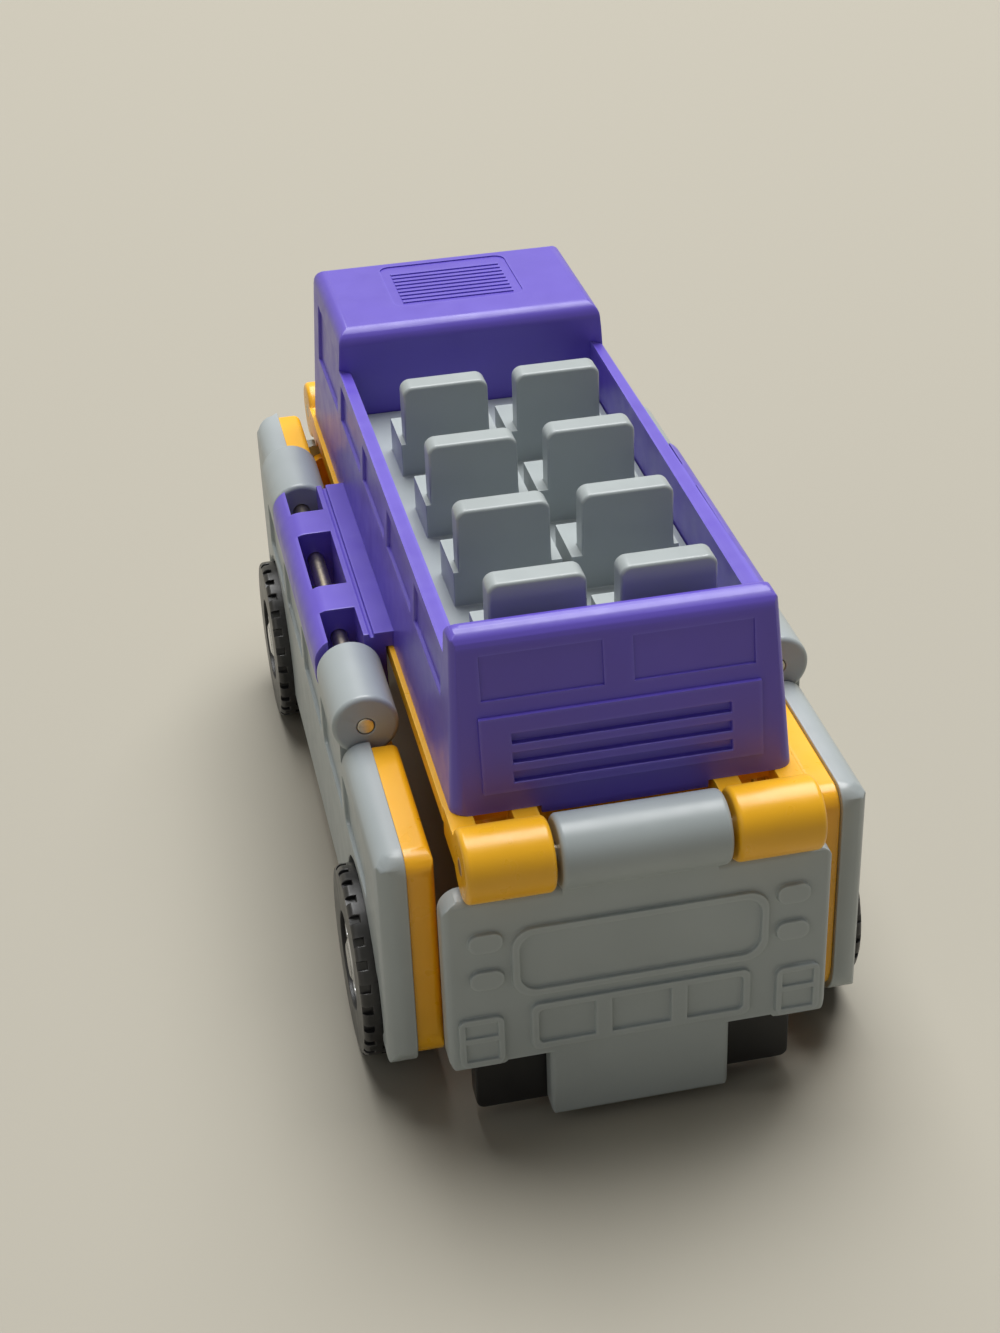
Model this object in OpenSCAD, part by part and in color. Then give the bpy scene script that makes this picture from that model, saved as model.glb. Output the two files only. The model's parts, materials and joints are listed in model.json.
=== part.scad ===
// Flip-over toy bus: an open-top upper deck on a lower cabin, wrapped by four hinged flaps.
// X is across the bus, Y points to its front, Z is up, and the wheels stand on Z = 0.

/* [Upper deck] */
// Length of the body at the belt line
body_len = 82; // [78:1:90]
// Width of the body at the belt line
body_w = 30; // [28:0.5:32]
// Height of the belt line above the ground
belt_z = 32; // [30:0.5:34]
// Height of the upper deck, from belt line to roof
deck_h = 18; // [17:0.5:20]
// How far the roof is narrower than the belt on each side
side_lean = 1; // [0.5:0.1:2]
// Drop from the roof to the rear rim
rim_drop = 1.9; // [1:0.1:3]
// Drop from the roof to the top of the side walls
wall_drop = 4.5; // [3.5:0.1:5.5]
// How far the rear face leans forward over its height
rear_rake = 2.4; // [1:0.1:3]
// How far the front face leans back over its height
front_rake = 0.6; // [0.3:0.1:1.5]
// Thickness of the rear wall at its rim
rear_wall = 2.8; // [2:0.1:3.5]
// Thickness of a side wall at the roof line
side_wall = 1.1; // [0.8:0.1:1.6]
// Length of the closed cab at the front
cab_len = 19.5; // [17:0.5:22]
// Thickness of the cab's roof and walls
cab_wall = 1.6; // [1.2:0.1:2.2]
// Depth of the moulded relief
relief = 0.4; // [0.2:0.05:0.5]

/* [Seats] */
// Number of seat rows
seat_rows = 4; // [2:1:4]
// Distance between rows
seat_pitch = 13.4; // [12:0.1:14]
// Width of a seat back
seat_w = 8.5; // [7:0.1:9]
// Aisle between the two seat columns
aisle_w = 2.84; // [2:0.02:4]
// Thickness of a seat back
back_t = 2.5; // [2:0.1:3]
// Height of a seat back above the deck floor
back_h = 9.5; // [8:0.1:10]
// Height of a cushion above the deck floor
cushion_h = 3.5; // [2.5:0.1:4]
// Length of a cushion in front of its back
cushion_len = 4; // [3:0.1:5]
// How much wider a cushion is than its back
cushion_extra = 1; // [0.4:0.1:1.4]
// Deck floor height above the belt line
floor_up = 8.5; // [7:0.1:9]
// Gap from the cab to the front of the first seat back
first_row_gap = 13.1; // [11:0.1:14]
// Thickness of the seat deck
deck_t = 1.4; // [1:0.1:2]

/* [Lower cabin] */
// Thickness of the flange at the belt line
flange_t = 1.5; // [1.2:0.1:2]
// How far the flange stands out past the sides of the upper deck
flange_lip = 0.5; // [0.2:0.1:0.8]
// How far the flange stays inside the ends of the upper deck
flange_recess = 1.2; // [1:0.1:1.5]
// Width of the cabin under the flange
cabin_w = 26; // [24:0.5:27]
// Length of the cabin under the flange
cabin_len = 76; // [72:1:78]
// Depth of the cabin, flange included
cabin_h = 13; // [11:0.5:13]
// Wall of the cabin
cabin_wall = 1.6; // [1.2:0.1:2]

/* [End flaps] */
// Distance of the end hinge axis past the body's end
end_axis_out = 4.7; // [4.5:0.1:6]
// Distance of the end hinge axis below the belt line
end_axis_drop = 1.5; // [1:0.1:1.8]
// Radius of the end hinge knuckles
end_knuckle_r = 3.25; // [2.8:0.05:3.3]
// Width of the flap's own knuckle in the middle
mid_knuckle_w = 14.6; // [12:0.1:16]
// Width of each knuckle of the cabin
cabin_knuckle_w = 7.65; // [6:0.05:8]
// Width of an end flap
flap_w = 34.4; // [31:0.1:35]
// Height of an end flap without its tongue
flap_h = 17.9; // [16:0.1:18.4]
// How far an end flap's face stands out past its hinge axis
flap_face_out = 0.3; // [0:0.1:1]
// Thickness of an end flap's shell
flap_t = 2.4; // [2:0.1:2.6]
// Thickness of an end flap's liner
flap_liner_t = 1.4; // [1.2:0.1:2]
// Width of the tongue
tongue_w = 16.4; // [14:0.1:18]
// Width of the feet at the lower corners of an end flap
foot_w = 5.4; // [4:0.1:6]
// How far the feet reach below the flap
foot_drop = 0.8; // [0.4:0.1:1.2]
// Length of the tongue below the flap
tongue_h = 7.6; // [6:0.1:8]
// Width of the bumper bar
bumper_w = 29.2; // [26:0.1:30]
// Height of the bumper bar
bumper_h = 8.4; // [7:0.1:8.6]
// Thickness of the bumper bar
bumper_t = 2.2; // [1.8:0.1:2.6]

/* [Side panels] */
// Distance of the side hinge axis past the belt
side_axis_out = 4.5; // [4.3:0.1:5]
// Distance of the side hinge axis below the belt line
side_axis_drop = 1.5; // [1.2:0.1:1.8]
// Radius of the side hinge knuckles
side_knuckle_r = 3.1; // [2.8:0.05:3.2]
// Length of each side knuckle
side_knuckle_len = 10.4; // [9:0.1:11]
// Length of the hinge bracket on the upper deck
bracket_len = 32; // [30:0.1:33]
// Distance of the bracket's middle ahead of the middle of the bus
bracket_ahead = 4; // [2:0.1:5]
// Drop from the side hinge axis to the top edge of the panel's ends
panel_end_drop = 1.5; // [1:0.1:2.5]
// Rise from the side hinge axis to the top of the panel's front corner
panel_front_rise = 2; // [1:0.1:2]
// Height of the panel's bottom edge above the ground
panel_bottom_z = 5; // [4:0.1:6]
// Thickness of the panel's shell
shell_t = 2.7; // [2.4:0.1:3]
// Thickness of the panel's liner
side_liner_t = 2.5; // [2:0.1:2.7]

/* [Wheels] */
// Wheel radius
wheel_r = 9; // [8.5:0.1:9.2]
// Width of each half of a wheel
wheel_w = 2.7; // [2:0.1:2.8]
// Distance of the rear axle behind the middle
rear_axle_back = 29; // [28:0.5:31]
// Distance of the front axle ahead of the middle
front_axle_ahead = 31; // [28:0.5:31]
// Thickness of the panel's web between the wheel halves
web_t = 1.3; // [1.1:0.1:1.5]
// Gap round a wheel in its arch
arch_gap = 0.6; // [0.4:0.1:0.8]

/* [Pins and fits] */
// Radius of the hinge pins
pin_r = 0.8; // [0.6:0.05:1]
// Radius of the wheel axles
axle_r = 0.8; // [0.6:0.05:1]
// Radial clearance where a piece turns on a pin
turn_clear = 0.05; // [0.03:0.01:0.08]
// Radial clearance where a pin is held
held_clear = 0.02; // [0.01:0.005:0.03]
// Gap between pieces that move past each other
move_gap = 0.35; // [0.3:0.05:0.5]
// Radius of the screws
screw_r = 0.85; // [0.7:0.05:1]

/* [Hidden] */
$fn = 48;

purple = "#6650b8";
yellow = "#f9ae1e";
grey = "#9ba3a1";
black = "#1b1b1e";
steel = "#b9b4ab";

eps = 0.01;
fit = 0.1;

half_len = body_len / 2;
half_w = body_w / 2;
roof_z = belt_z + deck_h;
roof_half_w = half_w - side_lean;
rim_z = roof_z - rim_drop;
wall_z = roof_z - wall_drop;
floor_z = belt_z + floor_up;
cab_y = half_len - cab_len;
rim_back_y = -half_len + rear_rake;
rim_front_y = rim_back_y + rear_wall;
rim_round = 1.8;
rear_corner_r = 1.5;
skirt_t = 1;
skirt_h = 0.8;
roof_round = 1.6;
well_half_w = roof_half_w - side_wall;
cab_half_w = roof_half_w - cab_wall;
cab_front_y = half_len - front_rake - cab_wall - roof_round;

cabin_bottom_z = belt_z - cabin_h;
flange_half_len = half_len - flange_recess;
flange_half_w = half_w + flange_lip;
screw_post_r = 2.4;
screw_x = cabin_w / 2 - cabin_wall - screw_post_r - 1;
screw_head_r = 1.7;
screw_head_t = 1.2;
screw_seat_z = belt_z - 3;
screw_len = 9;
rear_screw_in = 11;
rear_screw_y = -half_len + rear_screw_in;
front_screw_y = (cab_y + cab_front_y) / 2 + cab_wall / 2;

end_axis_y = half_len + end_axis_out;
end_axis_z = belt_z - end_axis_drop;
cabin_knuckle_x = mid_knuckle_w / 2 + move_gap + fit;
flap_top_z = end_axis_z - end_knuckle_r - move_gap;
flap_bottom_z = flap_top_z - flap_h;
flap_face_y = end_axis_y + flap_face_out;
flap_back_y = flap_face_y - flap_t;
liner_back_y = flap_back_y - flap_liner_t;
flap_round = 2;
foot_round = 1.6;
liner_inset = 1;
barrel_round = 0.5;
flap_edge_r = 0.9;
tongue_edge_r = 0.6;
panel_edge_r = 2;
liner_edge_r = 0.7;
bumper_z = flap_bottom_z + liner_inset - bumper_h;

side_axis_x = half_w + side_axis_out;
side_axis_z = belt_z - side_axis_drop;
bracket_y = bracket_ahead - bracket_len / 2;
bracket_round = 2.4;
bracket_inner_x = flange_half_w + 2 * fit;
knuckle_gap = 0.5;
side_pin_len = bracket_len + 2 * (knuckle_gap + side_knuckle_len);
side_pin_y = bracket_ahead - side_pin_len / 2;
pocket_half = side_knuckle_r / 2 + 0.15;
shell_setback = 0.2;
shell_back_x = side_axis_x - shell_setback;
shell_face_x = shell_back_x + shell_t;
liner_face_x = shell_back_x - side_liner_t;
panel_half_len = liner_back_y - move_gap;
panel_top_z = side_axis_z - side_knuckle_r - 2 * move_gap;
panel_end_z = side_axis_z - panel_end_drop;
panel_front_z = side_axis_z + panel_front_rise;
panel_step_y = side_pin_y + side_pin_len + 2 * fit;
panel_round = 4;
panel_top_round = 2;
panel_liner_inset = 0.4;

wheel_clear = 0.3;
web_face_x = shell_back_x + web_t;
outer_wheel_x = web_face_x + wheel_clear;
inner_wheel_x = shell_back_x - wheel_clear - wheel_w;
axle_y = [-rear_axle_back, front_axle_ahead];
hub_r = wheel_r * 0.52;
hub_depth = 0.7;
tyre_round = 0.6;

// Points of an arc from angle a to angle b
function arc(centre, r, a, b, n = 6) =
    [for (i = [0:n]) centre + r * [cos(a + (b - a) * i / n), sin(a + (b - a) * i / n)]];

// Half width of the upper deck at a height
function deck_half_w(z) = half_w - side_lean * (z - belt_z) / deck_h;

// Place of the rear face at a height
function rear_y(z) = -half_len + rear_rake * (z - belt_z) / (rim_z - belt_z);

// Extrude an outline of X and Z along Y
module along_y(y0, y1) {
    translate([0, y1, 0]) rotate([90, 0, 0]) linear_extrude(y1 - y0) children();
}

// Extrude an outline of Y and Z along X
module along_x(x0, x1) {
    translate([x0, 0, 0]) rotate([90, 0, 90]) linear_extrude(x1 - x0) children();
}

// Rectangle with round corners, from its low corner to its high corner
module rounded(low, high, r) {
    size = high - low;
    translate(low + [r, 0]) square([size.x - 2 * r, size.y]);
    translate(low + [0, r]) square([size.x, size.y - 2 * r]);
    for (x = [low.x + r, high.x - r], y = [low.y + r, high.y - r]) translate([x, y]) circle(r);
}

// Box from its low corner to its high corner
module box(low, high) {
    translate(low) cube(high - low);
}

// Slab that faces along X, from its back to its face, with round edges along its face
module soft_slab(back_x, face_x, y_half, z0, z1, r) {
    intersection() {
        along_y(-y_half, y_half) polygon(concat(
            [[back_x, z1], [back_x, z0]],
            arc([face_x - r, z0 + r], r, -90, 0),
            arc([face_x - r, z1 - r], r, 0, 90)));
        translate([0, 0, z0 - 1]) linear_extrude(z1 - z0 + 2) polygon(concat(
            [[back_x, y_half], [back_x, -y_half]],
            arc([face_x - r, r - y_half], r, -90, 0),
            arc([face_x - r, y_half - r], r, 0, 90)));
    }
}

// Hinge barrel along Z with round rims
module barrel(r, len) {
    rotate_extrude() polygon(concat(
        [[0, 0]],
        arc([r - barrel_round, barrel_round], barrel_round, -90, 0),
        arc([r - barrel_round, len - barrel_round], barrel_round, 0, 90),
        [[0, len]]));
}

// Right half is drawn, the left half is its mirror image
module on_side(side) {
    mirror([side < 0 ? 1 : 0, 0, 0]) children();
}

// Front end is drawn, the rear end is its mirror image
module on_end(end) {
    mirror([0, end < 0 ? 1 : 0, 0]) children();
}

// Side view of the upper deck
module deck_side_view() {
    polygon(concat(
        [[-half_len, belt_z]],
        arc([rim_back_y + rim_round, rim_z - rim_round], rim_round, 180, 90),
        arc([rim_front_y - rim_round / 2, rim_z - rim_round / 2], rim_round / 2, 90, 0),
        [[rim_front_y, wall_z], [cab_y, wall_z]],
        arc([cab_y + rim_round, roof_z - rim_round], rim_round, 180, 90),
        arc([half_len - front_rake - roof_round, roof_z - roof_round], roof_round, 90, 0),
        [[half_len, belt_z]]));
}

// End view of the upper deck
module deck_end_view() {
    polygon(concat(
        [[-half_w, belt_z], [half_w, belt_z]],
        arc([roof_half_w - roof_round, roof_z - roof_round], roof_round, 0, 90),
        arc([roof_round - roof_half_w, roof_z - roof_round], roof_round, 90, 180)));
}

// Shallow cut in the leaning side, from y0 to y1 and z0 to z1
module side_cut(y0, y1, z0, z1) {
    for (side = [-1, 1]) on_side(side) along_y(y0, y1)
        polygon([[deck_half_w(z0) - relief, z0], [deck_half_w(z1) - relief, z1],
            [half_w + 1, z1], [half_w + 1, z0]]);
}

// Shallow cut in the raked rear face, from x0 to x1 and z0 to z1
module rear_cut(x0, x1, z0, z1, depth = relief) {
    along_x(x0, x1)
        polygon([[rear_y(z0) + depth, z0], [rear_y(z1) + depth, z1],
            [-half_len - 1, z1], [-half_len - 1, z0]]);
}

// Rear windows, and the raised plate with louvres below them
rear_window = [1.3, 11.8];
rear_window_z = [rim_z - 6.1, rim_z - 2.1];
louvre_half_w = 9.5;
louvre_z = [belt_z + 2.6, belt_z + 7.8];
louvre_count = 3;
louvre_pitch = (louvre_z[1] - louvre_z[0]) / louvre_count;
louvre_share = 0.55;
plate_half_w = 12.2;
plate_margin = 0.8;
plate_up = relief / 2;
module rear_windows() {
    for (side = [-1, 1]) on_side(side)
        rear_cut(rear_window[0], rear_window[1], rear_window_z[0], rear_window_z[1]);
}

module louvres() {
    for (i = [0:louvre_count - 1])
        rear_cut(-louvre_half_w, louvre_half_w, louvre_z[0] + i * louvre_pitch,
            louvre_z[0] + (i + louvre_share) * louvre_pitch);
}

module rear_plate() {
    z0 = louvre_z[0] - plate_margin;
    z1 = louvre_z[1] + plate_margin;
    along_x(-plate_half_w, plate_half_w)
        polygon([[rear_y(z0) - plate_up, z0], [rear_y(z1) - plate_up, z1],
            [rear_y(z1) + plate_up, z1], [rear_y(z0) + plate_up, z0]]);
}

// Square corner with a quarter circle left in it, for rounding a corner off
module corner_waste(r) {
    difference() {
        translate([-r, -r]) square(2 * r + 1);
        translate([-r, -r]) circle(r);
        translate([-r - 1, -r - 1]) square([2 * r + 2, 1]);
        translate([-r - 1, -r - 1]) square([1, 2 * r + 2]);
    }
}

// Rounds off the corners of the rear wall, up its two edges and at the ends of its rim
rear_tilt = atan(rear_rake / (rim_z - belt_z));
side_tilt = atan(side_lean / deck_h);
module rear_corners() {
    for (side = [-1, 1]) on_side(side) {
        translate([half_w, -half_len, belt_z]) rotate([-rear_tilt, -side_tilt, 0])
            translate([0, 0, -1]) linear_extrude(deck_h + 2) mirror([0, 1]) corner_waste(rear_corner_r);
        along_y(-half_len - 1, rim_front_y + eps)
            translate([deck_half_w(rim_z - rear_corner_r), rim_z]) corner_waste(rear_corner_r);
    }
}

// Windows along the side of the upper deck
window_z = [floor_z, wall_z - 1.2];
window_count = 4;
window_pitch = (cab_y - rim_front_y) / window_count;
window_gap = 1.6;
module side_windows() {
    for (i = [0:window_count - 1])
        side_cut(rim_front_y + i * window_pitch + window_gap / 2,
            rim_front_y + (i + 1) * window_pitch - window_gap / 2, window_z[0], window_z[1]);
    side_cut(cab_y + window_gap, half_len - front_rake - 2 * window_gap, window_z[0],
        roof_z - 2 * window_gap);
}

// Windscreen in the front of the cab
module windscreen() {
    along_x(-roof_half_w + 2 * window_gap, roof_half_w - 2 * window_gap)
        polygon([[half_len - front_rake - relief, roof_z - 2 * window_gap],
            [half_len - front_rake * 0.4 - relief, floor_z],
            [half_len + 1, floor_z], [half_len + 1, roof_z - 2 * window_gap]]);
}

// Roof hatch, a groove round a ribbed plate
hatch_w = 14;
hatch_len = 11.5;
hatch_y = cab_y + 5.2;
hatch_rib = 1;
module roof_hatch() {
    translate([0, 0, roof_z - relief / 3]) linear_extrude(1) difference() {
        rounded([-hatch_w / 2, hatch_y], [hatch_w / 2, hatch_y + hatch_len], 1.2);
        for (i = [1:hatch_len / hatch_rib - 2]) translate([1 - hatch_w / 2, hatch_y + i * hatch_rib])
            square([hatch_w - 2, hatch_rib / 2]);
    }
}

// Bracket that holds the side hinge pin, with three open pockets over the pin
pocket_len = 11;
end_pocket_len = 5.5;
rail_w = 2.2;
module side_bracket() {
    difference() {
        along_y(bracket_y, bracket_y + bracket_len) {
            translate([roof_half_w, belt_z])
                square([side_axis_x - roof_half_w, side_axis_z + side_knuckle_r - belt_z]);
            translate([bracket_inner_x, side_axis_z - side_knuckle_r])
                square([side_axis_x - bracket_inner_x, 2 * side_knuckle_r]);
            rounded([bracket_inner_x, side_axis_z - side_knuckle_r],
                [side_axis_x + side_knuckle_r, side_axis_z + side_knuckle_r], bracket_round);
        }
        for (y = [[0, end_pocket_len], [(bracket_len - pocket_len) / 2, (bracket_len + pocket_len) / 2],
                [bracket_len - end_pocket_len, bracket_len]])
            box([side_axis_x - pocket_half, bracket_y + y[0] - eps, side_axis_z - side_knuckle_r - 1],
                [side_axis_x + pocket_half, bracket_y + y[1] + eps, side_axis_z + side_knuckle_r + 1]);
        along_y(bracket_y - 1, bracket_y + bracket_len + 1)
            translate([side_axis_x, side_axis_z]) circle(pin_r + held_clear);
        box([half_w + rail_w - relief, bracket_y - 1, side_axis_z + side_knuckle_r - relief],
            [half_w + rail_w, bracket_y + bracket_len + 1, roof_z]);
    }
}

// Post that takes a screw from below
module screw_post(y, top_z) {
    for (side = [-1, 1]) translate([side * screw_x, y, belt_z])
        cylinder(top_z - belt_z, r = screw_post_r);
}

// Holes for a pair of screws, up from the belt line
module screw_holes(y) {
    for (side = [-1, 1]) translate([side * screw_x, y, belt_z - eps])
        cylinder(screw_len, r = screw_r + held_clear);
}

module upper_body() {
    color(purple) difference() {
        union() {
            difference() {
                intersection() {
                    along_x(-half_w, half_w) deck_side_view();
                    along_y(-half_len, half_len) deck_end_view();
                }
                box([-well_half_w, rim_front_y, belt_z - 1], [well_half_w, cab_y, roof_z + 1]);
                box([-cab_half_w, cab_y + cab_wall, belt_z - 1],
                    [cab_half_w, cab_front_y, roof_z - cab_wall]);
                rear_windows();
                rear_corners();
                side_windows();
                windscreen();
                roof_hatch();
            }
            rear_plate();
            for (end = [-1, 1]) on_end(end)
                box([-mid_knuckle_w / 2, half_len - skirt_t, belt_z - skirt_h],
                    [mid_knuckle_w / 2, half_len, belt_z + eps]);
            for (side = [-1, 1]) on_side(side) side_bracket();
            screw_post(front_screw_y, roof_z - cab_wall);
        }
        louvres();
        screw_holes(front_screw_y);
    }
}

// One seat: a back with a round top edge, and a wider cushion in front of it
seat_round = 1;
module seat(x, y) {
    translate([x, y, floor_z - eps]) {
        along_y(-back_t, 0) rounded([0, -seat_round], [seat_w, back_h + eps], seat_round);
        box([-cushion_extra, -back_t, 0], [seat_w + cushion_extra / 2, cushion_len, cushion_h]);
    }
}

module seat_deck() {
    deck_half = well_half_w - fit;
    color(grey) difference() {
        union() {
            difference() {
                box([-deck_half, rim_front_y + fit, belt_z], [deck_half, cab_y - fit, floor_z]);
                box([deck_t - deck_half, rim_front_y + fit + deck_t, belt_z - 1],
                    [deck_half - deck_t, cab_y - fit - deck_t, floor_z - deck_t]);
            }
            screw_post(rear_screw_y, floor_z - eps);
            for (i = [0:seat_rows - 1], side = [-1, 1]) on_side(side)
                seat(aisle_w / 2, cab_y - first_row_gap - i * seat_pitch);
        }
        screw_holes(rear_screw_y);
    }
}

// Knuckle of the lower cabin at an end, on two stubs with a slot between them
stub_w = 2.2;
module cabin_knuckle() {
    x0 = cabin_knuckle_x;
    x1 = cabin_knuckle_x + cabin_knuckle_w;
    difference() {
        union() {
            translate([x0, end_axis_y, end_axis_z]) rotate([0, 90, 0]) barrel(end_knuckle_r, cabin_knuckle_w);
            for (x = [x0, x1 - stub_w])
                box([x, flange_half_len - 1, belt_z - 2 * flange_t], [x + stub_w, end_axis_y, belt_z]);
        }
        along_x(x0 - 1, x1 + 1) translate([end_axis_y, end_axis_z]) circle(pin_r + held_clear);
    }
}

module lower_cabin() {
    inside_w = cabin_w / 2 - cabin_wall;
    inside_len = cabin_len / 2 - cabin_wall;
    color(yellow) difference() {
        union() {
            translate([0, 0, belt_z - flange_t]) linear_extrude(flange_t)
                rounded([-flange_half_w, -flange_half_len], [flange_half_w, flange_half_len], 1);
            translate([0, 0, cabin_bottom_z]) linear_extrude(cabin_h)
                rounded([-cabin_w / 2, -cabin_len / 2], [cabin_w / 2, cabin_len / 2], 3);
            for (end = [-1, 1], side = [-1, 1]) on_end(end) on_side(side) cabin_knuckle();
        }
        difference() {
            box([-inside_w, -inside_len, cabin_bottom_z + cabin_wall], [inside_w, inside_len, belt_z + 1]);
            for (side = [-1, 1], y = [rear_screw_y, front_screw_y])
                translate([side * screw_x, y, cabin_bottom_z]) cylinder(cabin_h, r = screw_post_r);
        }
        for (side = [-1, 1], y = [rear_screw_y, front_screw_y]) translate([side * screw_x, y, 0]) {
            translate([0, 0, cabin_bottom_z - 1])
                cylinder(screw_seat_z - cabin_bottom_z + 1, r = screw_head_r + fit);
            cylinder(belt_z + 1, r = screw_r + fit);
        }
    }
}

module body_screws() {
    color(steel) for (side = [-1, 1], y = [rear_screw_y, front_screw_y])
        translate([side * screw_x, y, screw_seat_z]) {
            translate([0, 0, -screw_head_t]) cylinder(screw_head_t, r = screw_head_r);
            cylinder(screw_len, r = screw_r);
        }
}

module side_hinge_pin(side) {
    color(steel) on_side(side) translate([side_axis_x, side_pin_y, side_axis_z])
        rotate([-90, 0, 0]) cylinder(side_pin_len, r = pin_r);
}

module end_hinge_pin(end) {
    pin_len = 2 * (cabin_knuckle_x + cabin_knuckle_w);
    color(steel) on_end(end) translate([-pin_len / 2, end_axis_y, end_axis_z])
        rotate([0, 90, 0]) cylinder(pin_len, r = pin_r);
}

// Outline of a side panel in side view, lower along the hinge than at its ends
module panel_outline(inset = 0) {
    half = panel_half_len - inset;
    top = panel_end_z - inset;
    bottom = panel_bottom_z + inset;
    step_rear = side_pin_y - inset - 2 * fit;
    step_front = panel_step_y + inset;
    polygon(concat(
        arc([panel_top_round - half, top - panel_top_round], panel_top_round, 180, 90),
        [[step_rear, top], [step_rear, panel_top_z - inset],
            [step_front, panel_top_z - inset], [step_front, top]],
        arc([half - panel_top_round, top - panel_top_round], panel_top_round, 90, 0),
        arc([half - panel_round, bottom + panel_round], panel_round, 0, -90),
        arc([panel_round - half, bottom + panel_round], panel_round, -90, -180)));
}

// Slab of a side panel, and the corner that stands up from it ahead of the front knuckle
module panel_slab(back_x, face_x, r, inset = 0) {
    half = panel_half_len - inset;
    corner_y = panel_step_y + inset;
    intersection() {
        along_x(back_x, face_x) panel_outline(inset);
        soft_slab(back_x, face_x, half, panel_bottom_z + inset, panel_end_z - inset, r);
    }
    intersection() {
        translate([0, corner_y - fit, 0])
            soft_slab(back_x, face_x, half - corner_y, panel_end_z - panel_round, panel_front_z - inset, r);
        box([back_x - 1, corner_y, panel_bottom_z], [face_x + 1, half, roof_z]);
    }
}

// Round openings for the wheels
module wheel_discs(r) {
    for (y = axle_y) translate([y, wheel_r]) circle(r);
}

// Row of side windows on a panel
panel_windows = 5;
panel_window_z = [wheel_r * 2 + 1.6, panel_top_z - 1.6];
window_row_len = 70;
module panel_window_row() {
    pitch = window_row_len / panel_windows;
    for (i = [0:panel_windows - 1])
        rounded([i * pitch + window_gap / 2 - window_row_len / 2, panel_window_z[0]],
            [(i + 1) * pitch - window_gap / 2 - window_row_len / 2, panel_window_z[1]], 0.8);
}

module side_panel_shell(side) {
    knuckle_y = [bracket_y - knuckle_gap - side_knuckle_len, bracket_y + bracket_len + knuckle_gap];
    color(grey) on_side(side) difference() {
        union() {
            panel_slab(shell_back_x, shell_face_x, panel_edge_r);
            for (y = knuckle_y) {
                translate([side_axis_x, y, side_axis_z]) rotate([-90, 0, 0])
                    barrel(side_knuckle_r, side_knuckle_len);
                box([shell_back_x, y + barrel_round, panel_top_z - 1],
                    [shell_face_x, y + side_knuckle_len - barrel_round, side_axis_z]);
            }
        }
        along_x(web_face_x, shell_face_x + 1) wheel_discs(wheel_r + arch_gap);
        along_x(shell_back_x - 1, shell_face_x + 1) wheel_discs(axle_r + turn_clear);
        along_x(shell_face_x - relief, shell_face_x + 1) panel_window_row();
        for (y = knuckle_y) along_y(y - 1, y + side_knuckle_len + 1)
            translate([side_axis_x, side_axis_z]) circle(pin_r + turn_clear);
    }
}

module side_panel_liner(side) {
    color(yellow) on_side(side) difference() {
        translate([2 * shell_back_x, 0, 0]) mirror([1, 0, 0])
            panel_slab(shell_back_x, shell_back_x + side_liner_t, liner_edge_r, panel_liner_inset);
        along_x(liner_face_x - 1, shell_back_x + 1) wheel_discs(wheel_r + arch_gap);
        along_x(liner_face_x - 1, liner_face_x + relief) panel_window_row();
    }
}

// Raised outlines on an end flap: its window, the plate below it, the lamps and the corner boxes
flap_window_z = [flap_top_z - 10.9, flap_top_z - 3.5];
flap_window_w = 22.8;
frame_w = 0.7;
plate_top_z = flap_top_z - 11.9;
plate_w = 19.8;
lamp_x = 13.6;
lamp_half_w = 1.5;
lamp_r = 1;
lamp_z = [flap_top_z - 8.4, flap_top_z - 4.4];
corner_inset = 0.9;
corner_box_h = 6.2;
module raised_frame(low, high, r) {
    along_y(flap_face_y - eps, flap_face_y + relief) difference() {
        rounded(low, high, r);
        rounded(low + [frame_w, frame_w], high - [frame_w, frame_w], r - frame_w / 2);
    }
}

module end_flap_relief() {
    raised_frame([-flap_window_w / 2, flap_window_z[0]], [flap_window_w / 2, flap_window_z[1]], 2);
    raised_frame([-plate_w / 2, flap_bottom_z + corner_inset], [plate_w / 2, plate_top_z], 0.8);
    for (side = [-1, 1]) on_side(side) {
        along_y(flap_face_y - eps, flap_face_y + relief) {
            for (z = lamp_z)
                rounded([lamp_x - lamp_half_w, z - lamp_r], [lamp_x + lamp_half_w, z + lamp_r], lamp_r - fit);
            rounded([flap_w / 2 - foot_w + corner_inset / 2, flap_bottom_z - foot_drop + corner_inset],
                [flap_w / 2 - corner_inset, flap_bottom_z - foot_drop + corner_box_h], 0.8);
        }
    }
}

// Outline of an end flap, with a foot at each lower corner
module flap_outline() {
    rounded([-flap_w / 2, flap_bottom_z], [flap_w / 2, flap_top_z], flap_round);
    for (side = [-1, 1]) mirror([side < 0 ? 1 : 0, 0])
        rounded([flap_w / 2 - foot_w, flap_bottom_z - foot_drop],
            [flap_w / 2, flap_bottom_z + 2 * flap_round], foot_round);
}

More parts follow.
